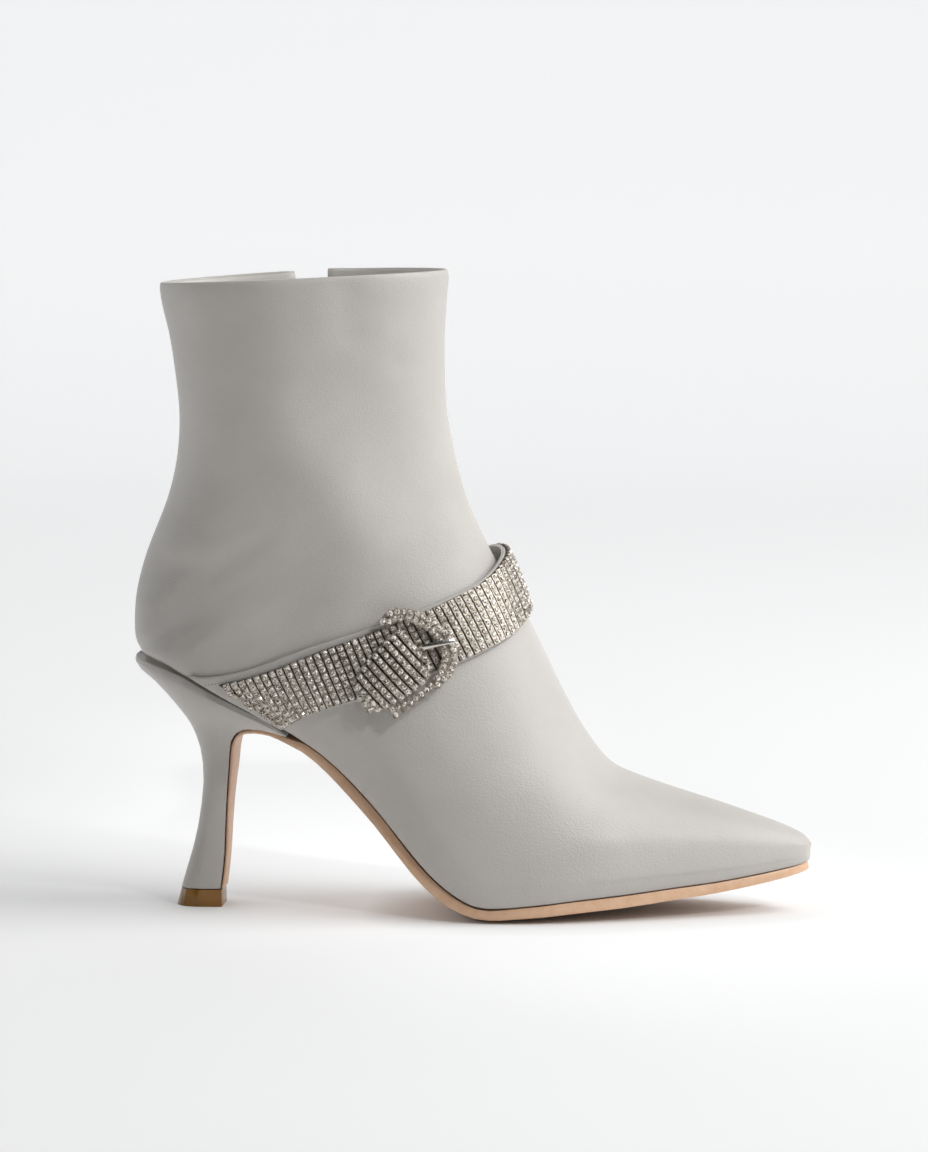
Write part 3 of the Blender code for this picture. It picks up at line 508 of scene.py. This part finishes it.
def strap_ray(angle, across):
    """The place and normal where a ray towards the leg meets the crystal panel, by its angle from the front."""
    heading = strap_along * math.cos(angle) + Vector((0, math.sin(angle), 0))
    middle = (strap_along * STRAP_MIDDLE + strap_across * across) * MM
    place, normal, _, _ = panel.ray_cast(middle + heading * 0.12, -heading, 0.12)
    return place, normal


def panel_edges(angle):
    """The lowest and highest place across the strap where the panel is met."""
    met = [c / 4 for c in range(42 * 4, 80 * 4) if strap_ray(angle, c / 4)[0]]
    return (met[0], met[-1]) if len(met) > 8 else None


turns = [math.radians(a) for a in range(-165, 166)]
edges = {a: panel_edges(a) for a in turns}
turns = [a for a in turns if edges[a]]
tops = [strap_ray(a, edges[a][1] - 1.5)[0] or strap_ray(a, edges[a][1])[0] for a in turns]
runs = [0.0]
for p, q in zip(tops, tops[1:]):
    runs.append(runs[-1] + (q - p).length / MM)
END_MARGIN = 2.0
columns = round((runs[-1] - 2 * END_MARGIN) / COLUMN_PITCH)
places = []
for column in range(columns + 1):
    run = END_MARGIN + (runs[-1] - 2 * END_MARGIN) * column / columns
    k = max(i for i, r in enumerate(runs) if r <= run)
    k = min(k, len(turns) - 2)
    share = (run - runs[k]) / (runs[k + 1] - runs[k])
    angle = turns[k] + (turns[k + 1] - turns[k]) * share
    low = edges[turns[k]][0] * (1 - share) + edges[turns[k + 1]][0] * share
    high = edges[turns[k]][1] * (1 - share) + edges[turns[k + 1]][1] * share
    count = max(1, round((high - low + 0.1) / STONE_PITCH))
    pitch = (high - low + 0.1) / count if count > 6 else STONE_PITCH
    for number in range(count):
        across = high + 0.05 - pitch * (number + 0.5)
        place, normal = strap_ray(angle, across)
        before_it = strap_ray(angle - 0.05, across)[0]
        after_it = strap_ray(angle + 0.05, across)[0]
        above = strap_ray(angle, across + 0.8)[0]
        below = strap_ray(angle, across - 0.8)[0]
        if not place:
            continue
        if before_it and after_it and above and below:
            normal = (after_it - before_it).cross(above - below).normalized()
            if normal.dot(place - (strap_along * STRAP_MIDDLE + strap_across * across) * MM) < 0:
                normal = -normal
        turn = Matrix.Rotation(random.uniform(-0.06, 0.06), 4, "Z")
        places.append(turned_to(place, normal, strap_across) @ turn)
set_copies("strap_crystals", template, places, "strap_stones")
strap_centre = strap_along * (STRAP_MIDDLE * MM)
# The mesh under the strap's stones is painted dark as the shade between the columns
sink_bed("strap_setting", "strap_stones",
         lambda p: (p - strap_across * p.dot(strap_across) - strap_centre).normalized(), BED_DEPTH)

# Free end of the strap: the same setting, pulled through the buckle and hanging down on the outer side, its columns
# on the slant. Single stones fill what the columns leave bare at its slanted edges.
END_SLANT = math.radians(-47)
end_skin = skin_of("strap_tip")
low_corner, high_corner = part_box("strap_tip")
down = Vector((math.cos(END_SLANT), 0, math.sin(END_SLANT)))
aside = Vector((-down.z, 0, down.x))


def meet(skin, x, z):
    """Where a ray from the outer side meets a skin, at a place in metres."""
    return skin.ray_cast(Vector((x, -0.1, z)), Vector((0, 1, 0)), 0.09)[0]


def outward_at(skin, x, z, reach=0.9 * MM):
    """The outward normal of a skin from four places round a point, or none where one of them misses."""
    left, right = meet(skin, x - reach, z), meet(skin, x + reach, z)
    low, high = meet(skin, x, z - reach), meet(skin, x, z + reach)
    if not (left and right and low and high):
        return None
    return (right - left).cross(high - low).normalized()


centre = (Vector(low_corner) + Vector(high_corner)) / 2
lengths = {}
for column in range(-60, 61):
    for step in range(-80, 81):
        spot = centre + aside * (column / 4 * MM) + down * (step / 4 * MM)
        if meet(end_skin, spot.x, spot.z):
            lengths.setdefault(column / 4, []).append(step / 4)
sides = [column for column, steps in lengths.items() if len(steps) > 6]
first, last = min(sides) + 0.5 * CUP, max(sides) - 0.5 * CUP
columns = round((last - first) / COLUMN_PITCH)
places = []
for number in range(columns):
    column = first + (last - first) * (number + 0.5) / columns
    steps = lengths[round(column * 4) / 4]
    count = max(1, round((steps[-1] - steps[0] + 0.3) / STONE_PITCH))
    for k in range(count):
        step = steps[0] - 0.15 + (steps[-1] - steps[0] + 0.3) * (k + 0.5) / count
        spot = centre + aside * (column * MM) + down * (step * MM)
        place = meet(end_skin, spot.x, spot.z)
        if place:
            out = outward_at(end_skin, spot.x, spot.z)
            turn = Matrix.Rotation(random.uniform(-0.06, 0.06), 4, "Z")
            places.append(turned_to(place, out or Vector((0, -1, 0)), down) @ turn)
for column, steps in sorted(lengths.items()):
    for step in steps:
        spot = centre + aside * (column * MM) + down * (step * MM)
        place = meet(end_skin, spot.x, spot.z)
        out = outward_at(end_skin, spot.x, spot.z, 0.6 * MM)
        if out and all((place - other.translation).length > 2.2 * MM for other in places):
            places.append(turned_to(place, out, down))
set_copies("strap_end_crystals", template, places, "strap_tip")
# The mesh under the free end's stones is painted dark as the shade between the columns
sink_bed("strap_end_setting", "strap_tip", lambda p: Vector((0, -1, 0)), BED_DEPTH, 0.88)

# Buckle: a cast frame pavéd with the same stones, standing over the strap, its underside open
frame_skin = skin_of("buckle_frame")
low_corner, high_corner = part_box("buckle_frame")
middle = Vector((low_corner[0] * 0.5 + high_corner[0] * 0.5, 0, low_corner[2] * 0.5 + high_corner[2] * 0.5))
spots = []
for quarter in range(-160 * 4, 160 * 4):
    angle = math.radians(quarter / 4 - 20)
    heading = Vector((math.cos(angle), 0, math.sin(angle)))
    met = [r / 4 for r in range(4 * 4, 30 * 4) if meet(frame_skin, *(middle + heading * (r / 4 * MM)).xz)]
    if len(met) < 6:
        continue
    for radius in (met[-1] - 0.9, met[0] + 1.1):
        spot = middle + heading * (radius * MM)
        place = meet(frame_skin, spot.x, spot.z)
        if place and all((place - other).length > 2.3 * MM for other in spots):
            spots.append(place)
places = []
for place in spots:
    out = outward_at(frame_skin, place.x, place.z, 0.5 * MM) or Vector((0, -1, 0))
    places.append(turned_to(place, out, strap_across) @ Matrix.Rotation(random.uniform(0, 1), 4, "Z"))
set_copies("buckle_crystals", template, places, "buckle_frame")
sink_bed("buckle_setting", "buckle_frame", lambda p: Vector((0, -1, 0)), 0.9, 1.0, cup_metal)
bpy.data.objects.remove(template)

# Prong: a polished steel tongue, pivoting on the strap end's bar and resting on the frame
steel, tree, shader = new_material("polished_steel")
place = add_node(tree, "ShaderNodeTexCoord").outputs["Object"]
wear = add_node(tree, "ShaderNodeTexNoise", {"Vector": place, "Scale": 700.0, "Detail": 3.0})
gloss = add_node(tree, "ShaderNodeMapRange", {"Value": wear.outputs["Fac"], "To Min": 0.16, "To Max": 0.32})
tree.links.new(gloss.outputs["Result"], shader.inputs["Roughness"])
shader.inputs["Base Color"].default_value = linear("d9d4cb")
shader.inputs["Metallic"].default_value = 1.0
PRONG_SWELL = 0.3
PRONG_LIFT = 0.6
prong = copy_node("prong_steel", "buckle_prong", steel)
bpy.ops.object.mode_set(mode="EDIT")
bpy.ops.mesh.select_all(action="SELECT")
bpy.ops.transform.shrink_fatten(value=PRONG_SWELL * MM)
bpy.ops.transform.translate(value=(0, -PRONG_LIFT * MM, 0))
bpy.ops.object.mode_set(mode="OBJECT")
round_edges(prong, 0.3, 30)
bpy.ops.object.shade_smooth()
finish_node(prong, "buckle_prong")

# Zip: woven polyester tape, dyed to the leather and sewn behind the slit, with a closed chain of die-cast teeth
tape, tree, shader = new_material("woven_tape")
place = add_node(tree, "ShaderNodeTexCoord").outputs["Object"]
THREAD = 0.35
threads = add_node(tree, "ShaderNodeTexWave", {"Vector": place, "Scale": 0.314 / (THREAD * MM), "Distortion": 1.0},
                   bands_direction="Z")
tone = add_node(tree, "ShaderNodeValToRGB", {"Fac": threads.outputs["Fac"]})
tone.color_ramp.elements[0].color = linear("78736e")
tone.color_ramp.elements[1].color = linear("9a958f")
tree.links.new(tone.outputs["Color"], shader.inputs["Base Color"])
weave = add_node(tree, "ShaderNodeBump", {"Height": threads.outputs["Fac"], "Strength": 0.3, "Distance": 0.1 * MM})
tree.links.new(weave.outputs["Normal"], shader.inputs["Normal"])
shader.inputs["Roughness"].default_value = 0.85
strip = copy_node("zip_tape", "zip_strip", tape)
round_edges(strip, 0.2, 40)
finish_node(strip, "zip_strip")

TOOTH_PITCH = 1.3
TOOTH_WIDTH = 2.5
strip_skin = skin_of("zip_strip")
low_corner, high_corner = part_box("zip_strip")
chain = []
for step in range(int((high_corner[2] - low_corner[2]) / MM) - 3):
    height = high_corner[2] - (1.0 + step) * MM
    met = []
    for k in range(0, 160):
        x = 0.024 + k * 0.000125
        place = strip_skin.ray_cast(Vector((x, 0.1, height)), Vector((0, -1, 0)), 0.09)[0]
        if place:
            met.append(place)
    raised = [p for p in met if p.y > max(q.y for q in met) - 0.7 * MM]
    if raised:
        chain.append(sum(raised, Vector()) / len(raised))
bpy.ops.object.select_all(action="DESELECT")
bpy.ops.mesh.primitive_cube_add(size=1.0, location=(0, 0, 0.1 * MM), scale=(TOOTH_WIDTH * MM, 0.75 * MM, 0.8 * MM))
tooth = bpy.context.active_object
bpy.ops.object.transform_apply()
tooth.data.materials.append(steel)
round_edges(tooth, 0.2, 30, 1)
places = []
run = 0.0
for p, q, r in zip(chain, chain[1:], chain[2:]):
    run += (q - p).length / MM
    if run >= TOOTH_PITCH:
        run -= TOOTH_PITCH
        lengthwise = (p - r).normalized()
        out = Vector((0, 1, 0)) - lengthwise * lengthwise.y
        offset = 0.45 if len(places) % 2 else -0.45
        side = lengthwise.cross(out).normalized()
        places.append(turned_to(q + side * offset * MM, out.normalized(), lengthwise))
set_copies("zip_teeth", tooth, places, "zip_strip")
bpy.data.objects.remove(tooth)

# Guard: a flap of lining leather behind the zip, skived at its edges
guard = copy_node("zip_guard_flap", "zip_guard", lining)
round_edges(guard, 0.25, 50)
finish_node(guard, "zip_guard")

# Slider and pull: die-cast zinc, barrel polished and nickel plated. The pull swings from the slider's bridge.
nickel, tree, shader = new_material("nickel_plated_zinc")
place = add_node(tree, "ShaderNodeTexCoord").outputs["Object"]
wear = add_node(tree, "ShaderNodeTexNoise", {"Vector": place, "Scale": 500.0, "Detail": 4.0})
gloss = add_node(tree, "ShaderNodeMapRange", {"Value": wear.outputs["Fac"], "To Min": 0.15, "To Max": 0.34})
tree.links.new(gloss.outputs["Result"], shader.inputs["Roughness"])
shader.inputs["Base Color"].default_value = linear("cbc7bf")
shader.inputs["Metallic"].default_value = 1.0
slider = copy_node("slider_body", "zip_slider", nickel)
round_edges(slider, 0.3, 30)
finish_node(slider, "zip_slider")
pull = copy_node("pull_tab", "zip_pull", nickel)
round_edges(pull, 0.2, 30)
finish_node(pull, "zip_pull", "pull")

# Stitches: bonded polyester thread, dyed a shade darker than the leather. They hold the strap's rear end, the
# lining under the collar and the leather along the zip.
thread, tree, shader = new_material("bonded_thread")
place = add_node(tree, "ShaderNodeTexCoord").outputs["Object"]
ply = add_node(tree, "ShaderNodeTexNoise", {"Vector": place, "Scale": 3000.0, "Detail": 2.0})
tone = add_node(tree, "ShaderNodeValToRGB", {"Fac": ply.outputs["Fac"]})
tone.color_ramp.elements[0].color = linear("6f6a66")
tone.color_ramp.elements[1].color = linear("96918c")
tree.links.new(tone.outputs["Color"], shader.inputs["Base Color"])
shader.inputs["Roughness"].default_value = 0.55
STITCH = 0.8
STITCH_GAP = 0.4
bpy.ops.object.select_all(action="DESELECT")
bpy.ops.mesh.primitive_uv_sphere_add(segments=6, ring_count=4, radius=1.0,
                                     scale=(0.2 * MM, 0.5 * STITCH * MM, 0.18 * MM))
stitch = bpy.context.active_object
bpy.ops.object.transform_apply()
stitch.data.materials.append(thread)


def sew(name, points, node):
    """A row of stitches along points that lie on a skin, each given as (place, outward)."""
    places = []
    run = 0.0
    for (p, _), (q, out) in zip(points, points[1:]):
        run += (q - p).length
        if run >= (STITCH + STITCH_GAP) * MM:
            run = 0.0
            places.append(turned_to(q, out, (q - p).normalized()))
    return set_copies(name, stitch, places, node)


leather = BVHTree.FromPolygons([v.co for v in upper.data.vertices], [face.vertices for face in upper.data.polygons])
band_skin = BVHTree.FromPolygons([v.co for v in band.data.vertices], [face.vertices for face in band.data.polygons])
REAR_STITCHES = [((3.6, 83.5), (10.8, 84.8)), ((24.8, 70.5), (30.6, 69.6))]
for number, ((ax, az), (bx, bz)) in enumerate(REAR_STITCHES):
    for side, word in ((-1, "outer"), (1, "inner")):
        row = []
        for k in range(41):
            spot = Vector((ax + (bx - ax) * k / 40, side * 100, az + (bz - az) * k / 40)) * MM
            place, normal, _, _ = band_skin.ray_cast(spot, Vector((0, -side, 0)), 0.09)
            if place:
                row.append((place, normal))
        if len(row) > 8:
            sew(f"strap_stitches_{word}_{number + 1}", row, "strap")

COLLAR_STITCH_DROP = 2.6
row = []
for degree in range(0, 361):
    angle = math.radians(degree)
    heading = Vector((math.cos(angle), math.sin(angle), 0.0435 * math.cos(angle)))
    inside = Vector((36.8, 0.0, 228.4 - COLLAR_STITCH_DROP)) * MM
    place = leather.ray_cast(inside, heading.normalized(), 0.08)[0]
    if place and not 0.026 < place.x * (place.y > 0) < 0.046:
        row.append((place, -heading.normalized()))
sew("collar_stitches", row, "upper")

ZIP_STITCH_OFFSET = 8.4
for offset, word in ((-ZIP_STITCH_OFFSET, "rear"), (ZIP_STITCH_OFFSET, "front")):
    row = []
    for point in chain:
        place, normal, _, _ = leather.ray_cast(Vector((point.x + offset * MM, 0.1, point.z)), Vector((0, -1, 0)), 0.09)
        if place:
            row.append((place, normal))
    sew(f"zip_stitches_{word}", row, "upper")
bpy.data.objects.remove(stitch)

# Studio: a seamless sheet of pale paper that runs up behind, with a painted glow that stands for the light thrown back
# by the room and a painted contact shadow close under the boot. Large soft lights stand at the toe side and above,
# weaker ones at the heel side and behind.
bpy.ops.object.select_all(action="DESELECT")
PAPER_AHEAD = 8.0
bpy.ops.mesh.primitive_plane_add(size=8.0, location=(0.0, 0.0, 0.0))
sweep = bpy.context.active_object
sweep.name = "paper_sweep"
bpy.ops.object.mode_set(mode="EDIT")
bpy.ops.transform.resize(value=(3.0, 1.0, 1.0))
bpy.ops.mesh.select_all(action="DESELECT")
bpy.ops.object.mode_set(mode="OBJECT")
for point in sweep.data.vertices:
    if point.co.y < 0:
        point.co.y -= PAPER_AHEAD
for edge in sweep.data.edges:
    edge.select = all(sweep.data.vertices[v].co.y > 3.9 for v in edge.vertices)
bpy.ops.object.mode_set(mode="EDIT")
bpy.ops.mesh.select_mode(type="EDGE")
bpy.ops.mesh.extrude_region_move(TRANSFORM_OT_translate={"value": (0.0, 0.0, 4.0)})
bpy.ops.object.mode_set(mode="OBJECT")
round_edges(sweep, 1800.0, 40, 16)
bpy.ops.object.shade_smooth()
paper, tree, shader = new_material("paper")
place = add_node(tree, "ShaderNodeTexCoord").outputs["Object"]
spread = add_node(tree, "ShaderNodeSeparateXYZ", {"Vector": place})
# Painted glow: the paper emits light that stands for the room's bounce, from 0.32 close in to 0.71 far back
painted_glow = add_node(tree, "ShaderNodeMapRange", {
    "Value": spread.outputs["Y"], "From Min": 0.1, "From Max": 3.0, "To Min": 0.32, "To Max": 0.71})
# Painted contact shadow: ambient occlusion within 25 mm takes the glow away close under the boot
cover = add_node(tree, "ShaderNodeAmbientOcclusion", {"Distance": 0.025})
shaded = add_node(tree, "ShaderNodeVectorMath", {0: cover.outputs["Color"], 1: painted_glow.outputs["Result"]},
                  operation="MULTIPLY")
tree.links.new(shaded.outputs["Vector"], shader.inputs["Emission Strength"])
shader.inputs["Emission Color"].default_value = linear("fdfeff")
shader.inputs["Base Color"].default_value = linear("d0d0d0")
shader.inputs["Roughness"].default_value = 0.9
shader.inputs["Specular IOR Level"].default_value = 0.0
sweep.data.materials.append(paper)

# Lamps: two narrow ones pick out the toe and the collar
AIM = Vector((0.0947, 0.0, 0.1206))
LAMP_DISTANCE = 1.8


def add_light(name, azimuth, height, size, watts, aim=AIM, spread=180.0):
    """A square soft light, its azimuth counted from the boot's outer side towards the toe."""
    turn, rise = math.radians(azimuth), math.radians(height)
    way = Vector((math.sin(turn) * math.cos(rise), -math.cos(turn) * math.cos(rise), math.sin(rise)))
    light = bpy.data.lights.new(name, "AREA")
    light.shape = "SQUARE"
    light.size = size
    light.energy = watts
    light.spread = math.radians(spread)
    lamp = bpy.data.objects.new(name, light)
    lamp.location = aim + way * LAMP_DISTANCE
    lamp.location.z = max(lamp.location.z, 0.5 * size + 0.02)
    lamp.rotation_euler = (aim - lamp.location).to_track_quat("-Z", "Y").to_euler()
    lamp.visible_camera = False
    bpy.context.scene.collection.objects.link(lamp)


add_light("key", 79, 35, 1.4, 28.0)
add_light("toe", 45, 38, 0.25, 0.05, Vector((0.14, 0.0, 0.05)), 6.0)
add_light("collar", 8, 34, 0.2, 0.022, Vector((0.058, 0.0, 0.25)), 3.5)
add_light("key_top", 90, 62, 1.0, 11.0)
add_light("heel_side", -95, 12, 1.2, 6.5)
add_light("rim", 180, 60, 1.2, 3.6)
world = bpy.data.worlds.new("studio")
world.use_nodes = True
bpy.context.scene.world = world
sky = world.node_tree.nodes["Background"]
sky.inputs["Color"].default_value = linear("f8f9fa")
sky.inputs["Strength"].default_value = 0.02

# Camera: the photograph's place, 1.5 m off, a little above and turned towards the toe
DISTANCE = 1.5
TURN = math.radians(4.5)
RISE = math.radians(5.51)
camera_data = bpy.data.cameras.new("photo")
camera_data.sensor_width = 36.0
camera_data.lens = 130.2
camera = bpy.data.objects.new("photo", camera_data)
back = Vector((math.sin(TURN) * math.cos(RISE), -math.cos(TURN) * math.cos(RISE), math.sin(RISE)))
camera.location = AIM + back * DISTANCE
camera.rotation_euler = (-back).to_track_quat("-Z", "Y").to_euler()
bpy.context.scene.collection.objects.link(camera)
bpy.context.scene.camera = camera
bpy.context.scene.view_settings.view_transform = "Standard"
